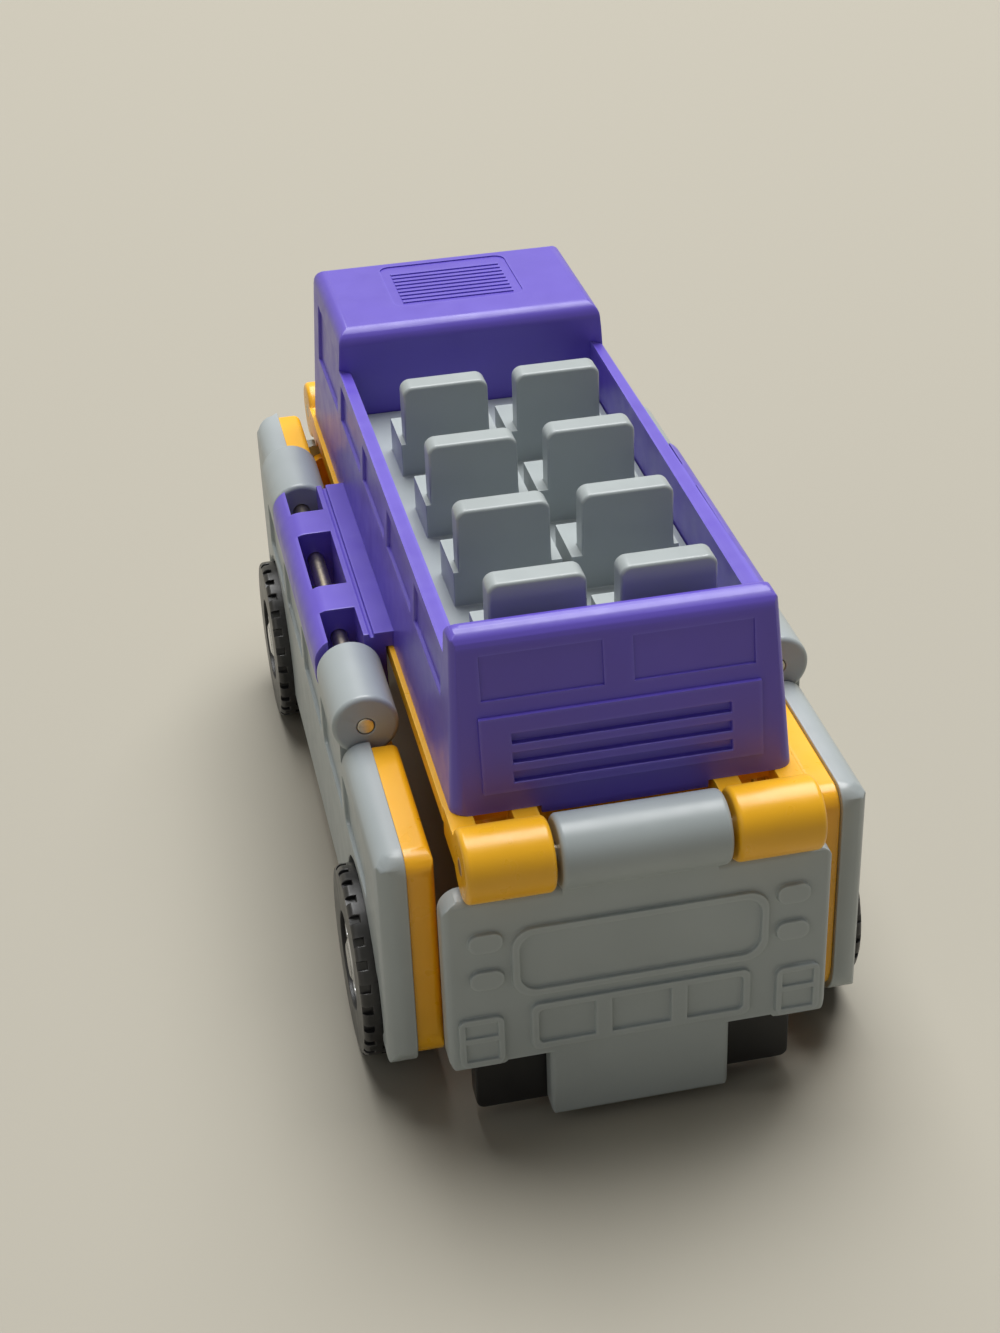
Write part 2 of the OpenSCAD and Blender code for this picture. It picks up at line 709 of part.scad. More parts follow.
module end_flap_shell(end) {
    tongue_t = flap_t - move_gap;
    color(grey) on_end(end) difference() {
        union() {
            intersection() {
                along_y(flap_back_y, flap_face_y) flap_outline();
                rotate([0, 0, 90]) soft_slab(flap_back_y, flap_face_y, flap_w / 2, flap_bottom_z - foot_drop,
                    flap_top_z, flap_edge_r);
            }
            intersection() {
                along_y(flap_face_y - tongue_t, flap_face_y)
                    rounded([-tongue_w / 2, flap_bottom_z - tongue_h],
                        [tongue_w / 2, flap_bottom_z + flap_round], 1);
                rotate([0, 0, 90]) soft_slab(flap_back_y, flap_face_y, tongue_w / 2, flap_bottom_z - tongue_h,
                    flap_top_z, tongue_edge_r);
            }
            along_y(flap_back_y, flap_face_y)
                translate([barrel_round - mid_knuckle_w / 2, flap_top_z - 1])
                    square([mid_knuckle_w - 2 * barrel_round, end_axis_z - flap_top_z + 1]);
            translate([-mid_knuckle_w / 2, end_axis_y, end_axis_z]) rotate([0, 90, 0])
                barrel(end_knuckle_r, mid_knuckle_w);
            end_flap_relief();
        }
        along_x(-mid_knuckle_w, mid_knuckle_w) translate([end_axis_y, end_axis_z])
            circle(pin_r + turn_clear);
    }
}

module end_flap_liner(end) {
    color(yellow) on_end(end) difference() {
        along_y(liner_back_y, flap_back_y)
            rounded([liner_inset - flap_w / 2, flap_bottom_z + liner_inset],
                [flap_w / 2 - liner_inset, flap_top_z - liner_inset], flap_round);
        along_y(liner_back_y - 1, liner_back_y + relief)
            rounded([-flap_window_w / 2, flap_window_z[0]], [flap_window_w / 2, flap_window_z[1]], 1.6);
    }
}

module end_flap_bumper(end) {
    color(black) on_end(end) along_y(flap_back_y - bumper_t, flap_back_y)
        rounded([-bumper_w / 2, bumper_z], [bumper_w / 2, bumper_z + bumper_h], 0.8);
}

// Wheel halves, axle and hub caps of the wheel on one side at one axle
module wheel_profile() {
    polygon(concat(
        [[axle_r + held_clear, 0], [wheel_r - tyre_round, 0]],
        arc([wheel_r - tyre_round, tyre_round], tyre_round, -90, 0),
        arc([wheel_r - tyre_round, wheel_w - tyre_round], tyre_round, 0, 90),
        [[hub_r, wheel_w], [hub_r, wheel_w - hub_depth], [axle_r + held_clear, wheel_w - hub_depth]]));
}

module wheel_outer(side, y) {
    color(black) on_side(side) translate([outer_wheel_x, y, wheel_r]) rotate([0, 90, 0])
        rotate_extrude() wheel_profile();
}

module wheel_inner(side, y) {
    color(black) on_side(side) translate([inner_wheel_x + wheel_w, y, wheel_r]) rotate([0, -90, 0])
        rotate_extrude() wheel_profile();
}

module axle(side, y) {
    x0 = inner_wheel_x + hub_depth;
    x1 = outer_wheel_x + wheel_w - hub_depth;
    color(steel) on_side(side) translate([x0, y, wheel_r]) rotate([0, 90, 0]) cylinder(x1 - x0, r = axle_r);
}

module hubcaps(side, y) {
    cap_r = hub_r - 2 * fit;
    for (face = [[outer_wheel_x + wheel_w - hub_depth, 90], [inner_wheel_x + hub_depth, -90]])
        color(steel) on_side(side) translate([face[0], y, wheel_r]) rotate([0, face[1], 0])
            rotate_extrude() polygon([[0, 0], [cap_r, 0], [cap_r, hub_depth * 0.5],
                [cap_r * 0.5, hub_depth * 0.5], [cap_r * 0.35, hub_depth], [0, hub_depth]]);
}

upper_body();
seat_deck();
lower_cabin();
body_screws();
side_hinge_pin(-1);  // left_hinge_pin
side_hinge_pin(1);  // right_hinge_pin
end_hinge_pin(-1);  // rear_hinge_pin
end_hinge_pin(1);  // front_hinge_pin
side_panel_shell(-1);  // left_panel_shell
side_panel_liner(-1);  // left_panel_liner
side_panel_shell(1);  // right_panel_shell
side_panel_liner(1);  // right_panel_liner
end_flap_shell(-1);  // tailgate_shell
end_flap_liner(-1);  // tailgate_liner
end_flap_bumper(-1);  // tailgate_bumper
end_flap_shell(1);  // front_flap_shell
end_flap_liner(1);  // front_flap_liner
end_flap_bumper(1);  // front_flap_bumper
wheel_outer(-1, axle_y[0]);  // rear_left_wheel_outer
wheel_inner(-1, axle_y[0]);  // rear_left_wheel_inner
axle(-1, axle_y[0]);  // rear_left_axle
hubcaps(-1, axle_y[0]);  // rear_left_hubcaps
wheel_outer(1, axle_y[0]);  // rear_right_wheel_outer
wheel_inner(1, axle_y[0]);  // rear_right_wheel_inner
axle(1, axle_y[0]);  // rear_right_axle
hubcaps(1, axle_y[0]);  // rear_right_hubcaps
wheel_outer(-1, axle_y[1]);  // front_left_wheel_outer
wheel_inner(-1, axle_y[1]);  // front_left_wheel_inner
axle(-1, axle_y[1]);  // front_left_axle
hubcaps(-1, axle_y[1]);  // front_left_hubcaps
wheel_outer(1, axle_y[1]);  // front_right_wheel_outer
wheel_inner(1, axle_y[1]);  // front_right_wheel_inner
axle(1, axle_y[1]);  // front_right_axle
hubcaps(1, axle_y[1]);  // front_right_hubcaps
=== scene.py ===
# %% [markdown]
# # A flip-over toy bus
# The toy is an open-top double-decker, about ten centimetres long. A purple upper deck holds a grey seat
# insert, a yellow cabin sits below it, and four grey flaps with yellow insides hang round them on steel pins.
# Every piece could be modelled again by hand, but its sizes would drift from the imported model. So this lesson
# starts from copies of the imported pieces, and gives each its rounded edges, its fine relief and its finish.

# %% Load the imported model
import json
import math

import bpy
from mathutils import Matrix, Vector
from mathutils.bvhtree import BVHTree
from mathutils.kdtree import KDTree

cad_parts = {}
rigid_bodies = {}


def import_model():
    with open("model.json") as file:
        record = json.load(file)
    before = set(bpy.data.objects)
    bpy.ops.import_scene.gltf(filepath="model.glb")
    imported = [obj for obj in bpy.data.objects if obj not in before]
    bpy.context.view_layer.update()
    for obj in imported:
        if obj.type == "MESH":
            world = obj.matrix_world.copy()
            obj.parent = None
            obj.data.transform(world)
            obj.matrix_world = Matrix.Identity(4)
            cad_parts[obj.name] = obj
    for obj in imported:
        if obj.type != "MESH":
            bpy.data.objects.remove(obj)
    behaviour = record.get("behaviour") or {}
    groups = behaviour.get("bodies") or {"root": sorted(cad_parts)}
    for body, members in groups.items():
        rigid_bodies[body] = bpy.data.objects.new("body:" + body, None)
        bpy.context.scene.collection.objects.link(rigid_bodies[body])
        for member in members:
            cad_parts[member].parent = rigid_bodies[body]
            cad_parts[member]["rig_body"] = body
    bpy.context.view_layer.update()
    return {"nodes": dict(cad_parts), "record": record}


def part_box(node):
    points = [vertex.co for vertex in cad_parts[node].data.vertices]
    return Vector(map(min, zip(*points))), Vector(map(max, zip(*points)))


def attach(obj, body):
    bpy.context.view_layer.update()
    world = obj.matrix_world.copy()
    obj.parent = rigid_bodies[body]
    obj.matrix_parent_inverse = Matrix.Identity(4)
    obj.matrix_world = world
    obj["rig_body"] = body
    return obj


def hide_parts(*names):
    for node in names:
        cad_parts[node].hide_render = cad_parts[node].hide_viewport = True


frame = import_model()
MM = 0.001


# %% [markdown]
# Colours are written as sRGB hex values, as they would be picked from a swatch, and the shader wants linear
# light. One function turns the one into the other. A second one adds a shader node with its settings and its
# links. The nodes could also be wired line by line, but this way a material reads as a short list.

# %% Colour and node helpers
def linear(swatch):
    """An sRGB hex colour as linear red, green, blue and alpha."""
    parts = [int(swatch[i:i + 2], 16) / 255 for i in (1, 3, 5)]
    return [p / 12.92 if p <= 0.04045 else ((p + 0.055) / 1.055) ** 2.4 for p in parts] + [1.0]


def add(tree, kind, settings=None, **inputs):
    """A new shader node. An input takes a value, or the socket that feeds it.

    An input goes by its name, or by its number, as in i6, where several inputs share a name.
    """
    made = tree.nodes.new(kind)
    for name, value in (settings or {}).items():
        setattr(made, name, value)
    for name, value in inputs.items():
        numbered = name[0] == "i" and name[1:].isdigit()
        socket = made.inputs[int(name[1:]) if numbered else name.replace("_", " ")]
        if isinstance(value, bpy.types.NodeSocket):
            tree.links.new(value, socket)
        else:
            socket.default_value = value
    return made


def new_material(name):
    """An empty material, its node tree and its Principled shader."""
    material = bpy.data.materials.new(name)
    material.use_nodes = True
    tree = material.node_tree
    tree.nodes.clear()
    shader = add(tree, "ShaderNodeBsdfPrincipled")
    output = add(tree, "ShaderNodeOutputMaterial")
    tree.links.new(shader.outputs["BSDF"], output.inputs["Surface"])
    return material, tree, shader


print("half grey is", round(linear("#808080")[0], 3), "in linear light")

# %% [markdown]
# The toy is injection-moulded ABS. Coloured pellets never mix quite evenly, the mould's polish leaves a faint
# waviness that breaks up a highlight, and handling dulls the gloss in patches and rubs the corners paler. A
# painted picture could show this, but each piece would have to be unwrapped for it. Noise of three real sizes
# does for all the pieces, on Object coordinates, so that nothing slides when a flap turns. The pale corners are
# partly this rubbed wear and partly a painted highlight in the colour of a lit top face. They are found by
# looking inwards from the surface: near an edge, the other side is close.

# %% Moulded ABS
CLOUD = 14 * MM
WAVE = 2.2 * MM
WAVE_DEPTH = 0.03 * MM
# The grit of a polished mould is finer than this. It is drawn this coarse so that it shows.
GRIT = 0.25 * MM
GRIT_DEPTH = 0.004 * MM
# How far in the pale edges reach and how pale they get: rubbed wear with a painted highlight.
RUB_AND_HIGHLIGHT = 0.35 * MM
RUB_AND_HIGHLIGHT_SHARE = 0.5
PELLET_SHADES = (0.93, 1.05)
ABS_DULLER = (-0.05, 0.07)
ABS_IOR = 1.53


def moulded_abs(name, swatch, rubbed_and_highlit, roughness):
    """Moulded ABS: its colour, the paler colour of a rubbed corner with a painted highlight, and its roughness.
    """
    material, tree, shader = new_material(name)
    place = add(tree, "ShaderNodeTexCoord").outputs["Object"]
    cloud = add(tree, "ShaderNodeTexNoise", Vector=place, Scale=1 / CLOUD, Detail=3.0)
    wave = add(tree, "ShaderNodeTexNoise", Vector=place, Scale=1 / WAVE, Detail=2.0)
    grit = add(tree, "ShaderNodeTexNoise", Vector=place, Scale=1 / GRIT, Detail=2.0)
    shade = add(tree, "ShaderNodeMapRange", Value=cloud.outputs["Fac"], From_Min=0.3, From_Max=0.7,
                To_Min=PELLET_SHADES[0], To_Max=PELLET_SHADES[1])
    tinted = add(tree, "ShaderNodeMix", {"data_type": "RGBA", "blend_type": "MULTIPLY"}, i0=1.0,
                 i6=linear(swatch), i7=shade.outputs["Result"])
    # Convex edges are mixed towards a paler colour: partly rubbed wear, partly a painted highlight.
    edge = add(tree, "ShaderNodeAmbientOcclusion", {"inside": True, "only_local": True, "samples": 6},
               Distance=RUB_AND_HIGHLIGHT)
    rub_and_highlight = add(tree, "ShaderNodeMapRange", Value=edge.outputs["AO"], From_Min=0.95, From_Max=0.5, To_Min=0.0,
              To_Max=RUB_AND_HIGHLIGHT_SHARE)
    worn_and_highlit = add(tree, "ShaderNodeMix", {"data_type": "RGBA"}, i0=rub_and_highlight.outputs["Result"], i6=tinted.outputs[2],
               i7=linear(rubbed_and_highlit))
    gloss = add(tree, "ShaderNodeMapRange", Value=wave.outputs["Fac"], From_Min=0.25, From_Max=0.75,
                To_Min=roughness + ABS_DULLER[0], To_Max=roughness + ABS_DULLER[1])
    ripple = add(tree, "ShaderNodeBump", Height=wave.outputs["Fac"], Strength=0.25, Distance=WAVE_DEPTH)
    grain = add(tree, "ShaderNodeBump", Height=grit.outputs["Fac"], Strength=0.2, Distance=GRIT_DEPTH,
                Normal=ripple.outputs["Normal"])
    tree.links.new(worn_and_highlit.outputs[2], shader.inputs["Base Color"])
    tree.links.new(gloss.outputs["Result"], shader.inputs["Roughness"])
    tree.links.new(grain.outputs["Normal"], shader.inputs["Normal"])
    shader.inputs["IOR"].default_value = ABS_IOR
    return material


# The second colour of each is its pale edge: rubbed wear, with a painted highlight in the colour of a lit face.
# Upper deck: a deep violet with a soft sheen, paler along its rims, where a highlight is painted over rubbed
# wear.
purple_abs = moulded_abs("moulded_abs_purple", "#6552C4", "#8072DA", 0.34)
# Seats and shells: a cool grey whose broad highlights show every rounded edge.
grey_abs = moulded_abs("moulded_abs_grey", "#A6AEAF", "#BCC4C5", 0.35)
# Cabin and liners: a warm yellow, the glossiest of the four, which glows where it faces itself.
yellow_abs = moulded_abs("moulded_abs_yellow", "#FFBC18", "#FFCE54", 0.3)
# Wheels and bumpers: a near black that is seen mostly by its sheen and its greyed edges, rubbed and with a
# painted highlight.
black_abs = moulded_abs("moulded_abs_black", "#19191B", "#3A3A3D", 0.34)
print("moulded plastics:", [m.name for m in (purple_abs, grey_abs, yellow_abs, black_abs)])


# %% [markdown]
# The pins are cut from drawn steel wire, which keeps fine scratches, and the hubs are plated bright on a
# plastic core, so they mirror the room with a slight ripple. A clean mirror would look like glass, so one
# noise of a real size breaks up the colour, the gloss and the surface of both, finer on the wire.

# %% Steel wire and bright plating
SCRATCH_DEPTH = 0.01 * MM
METAL_SHADES = (0.8, 1.05)
METAL_DULLER = (-0.06, 0.08)


def bright_metal(name, swatch, roughness, scratch_size):
    """A bare metal with fine scratches of one real size."""
    material, tree, shader = new_material(name)
    place = add(tree, "ShaderNodeTexCoord").outputs["Object"]
    scratch = add(tree, "ShaderNodeTexNoise", Vector=place, Scale=1 / scratch_size, Detail=4.0)
    tone = add(tree, "ShaderNodeMapRange", Value=scratch.outputs["Fac"], From_Min=0.3, From_Max=0.7,
               To_Min=METAL_SHADES[0], To_Max=METAL_SHADES[1])
    tinted = add(tree, "ShaderNodeMix", {"data_type": "RGBA", "blend_type": "MULTIPLY"}, i0=1.0,
                 i6=linear(swatch), i7=tone.outputs["Result"])
    gloss = add(tree, "ShaderNodeMapRange", Value=scratch.outputs["Fac"], To_Min=roughness + METAL_DULLER[0],
                To_Max=roughness + METAL_DULLER[1])
    dent = add(tree, "ShaderNodeBump", Height=scratch.outputs["Fac"], Strength=0.3, Distance=SCRATCH_DEPTH)
    tree.links.new(tinted.outputs[2], shader.inputs["Base Color"])
    tree.links.new(gloss.outputs["Result"], shader.inputs["Roughness"])
    tree.links.new(dent.outputs["Normal"], shader.inputs["Normal"])
    shader.inputs["Metallic"].default_value = 1.0
    return material


# Pins and axles: a dull, slightly warm steel with a long soft highlight.
pin_steel = bright_metal("drawn_steel_wire", "#C2B8A6", 0.3, 0.4 * MM)
# Hub caps: a neutral bright plating, nearly a mirror.
hub_plating = bright_metal("plated_bright_hub", "#C9CBCE", 0.16, 1.5 * MM)
print("metals:", pin_steel.name, "and", hub_plating.name)


# %% [markdown]
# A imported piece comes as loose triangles, and a bevel needs real edges between real faces. So each piece is
# copied, its triangles are merged, and its flat areas are dissolved to as few faces as they can be. A Remesh
# modifier could join the triangles too, but it would soften every corner and change the sizes.

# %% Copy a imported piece
MERGE_REACH = 0.002 * MM
FLAT_TURN = math.radians(0.5)


def only(piece):
    """Select one object alone and make it active."""
    bpy.ops.object.select_all(action="DESELECT")
    piece.select_set(True)
    bpy.context.view_layer.objects.active = piece


def merge_flats(piece):
    """Merge a mesh's loose triangles, and dissolve each flat area to as few faces as it can be."""
    only(piece)
    bpy.ops.object.mode_set(mode="EDIT")
    bpy.ops.mesh.select_all(action="SELECT")
    bpy.ops.mesh.customdata_custom_splitnormals_clear()
    bpy.ops.mesh.remove_doubles(threshold=MERGE_REACH)
    bpy.ops.mesh.dissolve_limited(angle_limit=FLAT_TURN)
    bpy.ops.object.mode_set(mode="OBJECT")


def copy_of(node):
    """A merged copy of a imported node's mesh, as a new object at the origin."""
    source = frame["nodes"][node]
    piece = bpy.data.objects.new(node + "_moulded", source.data.copy())
    bpy.context.scene.collection.objects.link(piece)
    piece.data.materials.clear()
    merge_flats(piece)
    return piece


def box_mm(node):
    """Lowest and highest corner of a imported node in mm."""
    return [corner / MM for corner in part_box(node)]


print(len(frame["nodes"]), "packed pieces to copy")


# %% [markdown]
# A moulded piece has no knife edge: the mould is rounded, so every edge catches a thin line of light. A Bevel
# modifier would round all edges alike, and the bevel tool takes chosen ones, so the wide ones come first and
# the fine relief last. Where relief is shallower than the rounding, a bevel folds over and turns a face
# inside out. So the new triangles are compared with the surface before, and where one faces against it, the
# bevel is made again with the edges there left sharp.

# %% Find edges and folds
FOLD_AREA = 0.002 * MM * MM
FOLD_FACING = -0.2


def edge_facts(piece):
    """For each edge with two faces: the edge, its middle in mm, whether it stands out, and both normals."""
    mesh = piece.data
    faces_at = {}
    for face in mesh.polygons:
        for key in face.edge_keys:
            faces_at.setdefault(key, []).append(face)
    for edge in mesh.edges:
        faces = faces_at.get(edge.key, [])
        if len(faces) == 2:
            a, b = (mesh.vertices[i].co for i in edge.vertices)
            stands_out = (faces[1].center - faces[0].center).dot(faces[0].normal) < 0
            yield edge, (a + b) / 2 / MM, stands_out, [face.normal for face in faces]


def surface_of(mesh):
    """A search tree of a mesh's triangles."""
    mesh.calc_loop_triangles()
    return BVHTree.FromPolygons([v.co for v in mesh.vertices], [t.vertices for t in mesh.loop_triangles],
                                all_triangles=True)


def folded_points(mesh, surface):
    """Corners of the triangles that face against the surface which they came from."""
    mesh.calc_loop_triangles()
    points = []
    for triangle in mesh.loop_triangles:
        corners = [mesh.vertices[i].co for i in triangle.vertices]
        facing = surface.find_nearest(sum(corners, Vector()) / 3)[1].dot(triangle.normal)
        if triangle.area > FOLD_AREA and facing < FOLD_FACING:
            points += [corner.copy() for corner in corners]
    return points


print("a fold faces more than", round(math.degrees(math.acos(FOLD_FACING))), "degrees away from its surface")

# %% Round edges
SHARP_TURN = 40
BEVEL_TRIES = 6
FOLD_REACH = 0.25
FINE = 0.12


def bevel_edges(piece, chosen, width, steps):
    """Bevel the edges of a piece with these indices. The width is in mm."""
    only(piece)
    mesh = piece.data
    for group in (mesh.vertices, mesh.edges, mesh.polygons):
        group.foreach_set("select", [False] * len(group))
    for i in chosen:
        mesh.edges[i].select = True
    bpy.ops.object.mode_set(mode="EDIT")
    bpy.ops.mesh.select_mode(type="EDGE")
    bpy.ops.mesh.bevel(offset=width * MM, segments=steps, profile=0.5, affect="EDGES", clamp_overlap=False)
    bpy.ops.object.mode_set(mode="OBJECT")


def round_edges(piece, width, wanted=None, steps=2):
    """Bevel the sharp edges that the wanted function picks, or all of them, but none that would fold over."""
    before = piece.data
    surface = surface_of(before)
    chosen = []
    for edge, middle, stands_out, normals in edge_facts(piece):
        turn = math.degrees(normals[0].angle(normals[1], 0.0))
        if turn > SHARP_TURN and (wanted is None or wanted(middle, stands_out, normals)):
            chosen.append(edge.index)
    for attempt in range(BEVEL_TRIES):
        piece.data = before.copy()
        bevel_edges(piece, chosen, width, steps)
        folds = folded_points(piece.data, surface)
        if not folds:
            break
        near = KDTree(len(folds))
        for i, point in enumerate(folds):
            near.insert(point, i)
        near.balance()
        reach = (width + FOLD_REACH) * MM
        chosen = [i for i in chosen
                  if min(near.find(before.vertices[v].co)[2] for v in before.edges[i].vertices) > reach]
    print(piece.name, "rounded by", width, "mm at", len(chosen), "edges,", len(folds) // 3, "folds left")


print("the finest rounding is", FINE, "mm")


# %% [markdown]
# Smooth shading blends the light across the rounded edges, but it would also bend it across the broad flat
# walls beside them, and they would look dented. More cuts along each edge could hold the shading. Here the
# faces of every broad flat area are marked strong instead, and a Weighted Normal modifier lets them rule the
# normals along their borders, which adds no faces.

# %% Keep flat faces flat in the shading
FLAT_AREA = 25 * MM * MM
# Faces lie in one plane when their normals agree to a hundredth and their heights to a fiftieth of a mm.
PLANE_TURNS = 100
PLANE_STEPS = 50


def plane_of(face):
    """A face's plane as whole numbers, the same for all faces of one flat area."""
    height = face.normal.dot(face.center) / MM
    return tuple(round(v * PLANE_TURNS) for v in face.normal) + (round(height * PLANE_STEPS),)


def mark_flat_faces(piece):
    """Give the faces of broad flat areas the say over the normals along their borders."""
    area = {}
    for face in piece.data.polygons:
        area[plane_of(face)] = area.get(plane_of(face), 0.0) + face.area
    bpy.ops.object.mode_set(mode="EDIT")
    bpy.ops.mesh.select_mode(type="FACE")
    bpy.ops.mesh.select_all(action="DESELECT")
    bpy.ops.object.mode_set(mode="OBJECT")
    for face in piece.data.polygons:
        face.select = area[plane_of(face)] > FLAT_AREA
    bpy.ops.object.mode_set(mode="EDIT")
    bpy.ops.mesh.mod_weighted_strength(set=True, face_strength="STRONG")
    bpy.ops.object.mode_set(mode="OBJECT")


print("a flat area counts as broad from", round(FLAT_AREA / MM / MM), "square mm")

# %% [markdown]
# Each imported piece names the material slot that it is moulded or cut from. One table turns the slot into the
# finish, and one function hands every piece over in the same way: it is smoothed, it rides on its own body,
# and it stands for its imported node.

# %% Finish a piece
SMOOTH_TURN = math.radians(38)
FINISH = {
    "purple_abs": purple_abs,
    "yellow_abs": yellow_abs,
    "grey_abs": grey_abs,
    "black_abs": black_abs,
    "pin_steel": pin_steel,
    "hub_chrome": hub_plating,
}
slot_of = {row["node"]: row["material_slot"] for row in frame["record"]["subparts"]}


def finish_piece(piece, node):
    """Smooth a piece, let its broad flat faces rule the shading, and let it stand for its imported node."""
    slot = slot_of[node]
    piece.data.materials.append(FINISH[slot])
    only(piece)
    bpy.ops.object.shade_smooth_by_angle(angle=SMOOTH_TURN)
    mark_flat_faces(piece)
    even = piece.modifiers.new("even_normals", "WEIGHTED_NORMAL")
    even.keep_sharp = True
    even.use_face_influence = True
    bpy.ops.object.modifier_apply(modifier=even.name)
    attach(piece, frame["nodes"][node]["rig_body"])
    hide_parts(node)
    print(node, len(piece.data.polygons), "faces")


print("slots in use:", sorted(set(slot_of.values())))

# %% [markdown]
# The upper deck is one purple shell with a closed cab in front and two thin side walls. Its rear corners and
# its rim come round already. One rounding for all the rest would either eat the windows or leave the walls
# sharp, so the tops of the walls get a middling one by themselves, and the windows a fine one after it.

# %% Upper deck
WALL_ROUND = 0.3
# From the cab's roof down to the top of the walls.
WALL_DROP = 4.5
LEVEL_SLACK = 0.1
FACES_UP = 0.9
wall_top_z = box_mm("upper_body")[1].z - WALL_DROP
seat_low, seat_high = box_mm("seat_deck")


def wall_top(middle, stands_out, normals):
    """Long top edges of the two side walls."""
    level = abs(middle.z - wall_top_z) < LEVEL_SLACK and max(n.z for n in normals) > FACES_UP
    return stands_out and level and seat_low.y < middle.y < seat_high.y


deck = copy_of("upper_body")
round_edges(deck, WALL_ROUND, wall_top, steps=3)
round_edges(deck, FINE)
finish_piece(deck, "upper_body")

# %% [markdown]
# The eight seats are hard grey plastic, moulded in one piece with their floor. They look soft because their
# backs are rounded all round the top. A Subdivision Surface could do that, but it would shrink the thin
# backs, so the edges above the cushions are bevelled wide, and the rest fine.

# %% Seat insert
SEAT_ROUND = 0.34
# Height of a seat's back above its cushion.
BACK_RISE = 6.0
CUSHION_CLEAR = 0.2
cushion_top = seat_high.z - BACK_RISE


def seat_back(middle, stands_out, normals):
    """Edges of the seat backs above the cushions."""
    return stands_out and middle.z > cushion_top + CUSHION_CLEAR


seats = copy_of("seat_deck")
round_edges(seats, SEAT_ROUND, seat_back, steps=4)
round_edges(seats, FINE)
finish_piece(seats, "seat_deck")

# %% [markdown]
# The yellow cabin is the toy's core, and is mostly hidden behind the flaps. Its hinge barrels are already
# round at their rims, so a fine rounding all over is enough.

# %% Lower cabin
cabin = copy_of("lower_cabin")
round_edges(cabin, FINE)
finish_piece(cabin, "lower_cabin")

# %% [markdown]
# The plate at the foot of an end flap is split in three by two upright bars, and each corner box holds two
# shallow pockets. They could be drawn with a bump, but then the mesh would be plain. So they are blocks, and
# a Boolean modifier joins the bars on, flush with the plate's frame, and cuts the pockets away. The rounding
# that follows makes them moulded relief. Heights are measured down from the flap's top edge, in mm.

# %% Blocks that are joined on or cut away
def joined(pieces):
    """Join several objects into one and return it."""
    bpy.ops.object.select_all(action="DESELECT")
    for piece in pieces:
        piece.select_set(True)
    bpy.context.view_layer.objects.active = pieces[0]
    bpy.ops.object.join()
    return pieces[0]


def combine(piece, other, operation):
    """Join another object on to a piece with UNION, or cut it away with DIFFERENCE, and remove it."""
    only(piece)
    step = piece.modifiers.new("combine", "BOOLEAN")
    step.operation = operation
    step.object = other
    bpy.ops.object.modifier_apply(modifier=step.name)
    bpy.data.objects.remove(other)


def block(low, high):
    """A box between two corners in mm."""
    bpy.ops.object.select_all(action="DESELECT")
    bpy.ops.mesh.primitive_cube_add(size=1, location=(low + high) / 2 * MM)
    bpy.context.object.scale = [abs(side) * MM for side in high - low]
    bpy.ops.object.transform_apply()
    return bpy.context.object


# %% Relief of the end flaps
# From the top of the hinge barrel down to the top edge of the flap, and from there until the barrel is clear.
FLAP_TOP_DROP = 6.85
BARREL_CLEAR = 1
PLATE_DROPS = (11.9, 17.0)
FRAME_OVERLAP = 0.2
BAR_X = 3.4
BAR_W = 1.5
BAR_H = 0.6
POCKET_X = (12.85, 15.7)
POCKET_DROPS = ((13.1, 14.6), (15.2, 17.2))
POCKET_DEPTH = 0.3


def flap_relief(piece, node):
    """Split the plate of an end flap with bars, and sink the pockets of its corner boxes."""
    low, high = box_mm(node)
    top = high.z - FLAP_TOP_DROP
    out = math.copysign(1, low.y + high.y)
    flat_part = [v.co for v in piece.data.vertices if v.co.z < (top - BARREL_CLEAR) * MM]
    face = out * max(abs(point.y) for point in flat_part) / MM
    bar_low, bar_high = top - PLATE_DROPS[1] + FRAME_OVERLAP, top - PLATE_DROPS[0] - FRAME_OVERLAP
    bars = []
    pockets = []
    for side in (-1, 1):
        bars.append(block(Vector((side * BAR_X - BAR_W / 2, face - out * BAR_H, bar_low)),
                          Vector((side * BAR_X + BAR_W / 2, face, bar_high))))
        for upper, lower in POCKET_DROPS:
            pockets.append(block(Vector((side * POCKET_X[0], face - out * POCKET_DEPTH, top - lower)),
                                 Vector((side * POCKET_X[1], face + out, top - upper))))
    print(node, "gets", len(bars), "bars and", len(pockets), "pockets")
    combine(piece, joined(bars), "UNION")
    combine(piece, joined(pockets), "DIFFERENCE")
    merge_flats(piece)


print("the bars of a plate stand", 2 * BAR_X, "mm apart, and a pocket is", POCKET_DEPTH, "mm deep")


# %% [markdown]
# The end flaps and side panels are grey shells with yellow liners, and black bumpers at the ends. Their
# outlines come round along the straight sides of the face. The corners of the side panels, which a thumb
# pushes to flip them, are broadly round as well, so the bevel tool takes them first, and the low relief of
# windows, lamps and plates gets the fine rounding.

# %% End flaps and side panels
CORNER_ROUND = 0.8
CORNER_LEN = 4.5
panel_high = box_mm("right_panel_liner")[1]


def panel_corner(middle, stands_out, normals):
    """Edges of a side panel's shell at the corners of its outer face."""
    on_face = abs(middle.x) > panel_high.x + CORNER_ROUND / 2
    return stands_out and on_face and abs(middle.y) > panel_high.y - CORNER_LEN


for node in sorted(frame["nodes"]):
    if node.endswith(("shell", "liner", "bumper")):
        piece = copy_of(node)
        if node.endswith("panel_shell"):
            round_edges(piece, CORNER_ROUND, panel_corner, steps=4)
        elif node.endswith("shell"):
            flap_relief(piece, node)
        round_edges(piece, FINE, steps=3)
        finish_piece(piece, node)

# %% [markdown]
# Each wheel half is a plain turned disc so far. A toy tyre has a tread of small blocks along both rims, which
# shows as a notched edge from behind. The blocks could be built up one by one, but it is less work to cut
# what lies between them: notches round both rims, half a step apart, taken away with a Boolean modifier.

# %% Tyre tread
NOTCHES = 26
NOTCH_SIZE = Vector((1.0, 0.8, 0.9))
NOTCH_DEPTH = 0.45


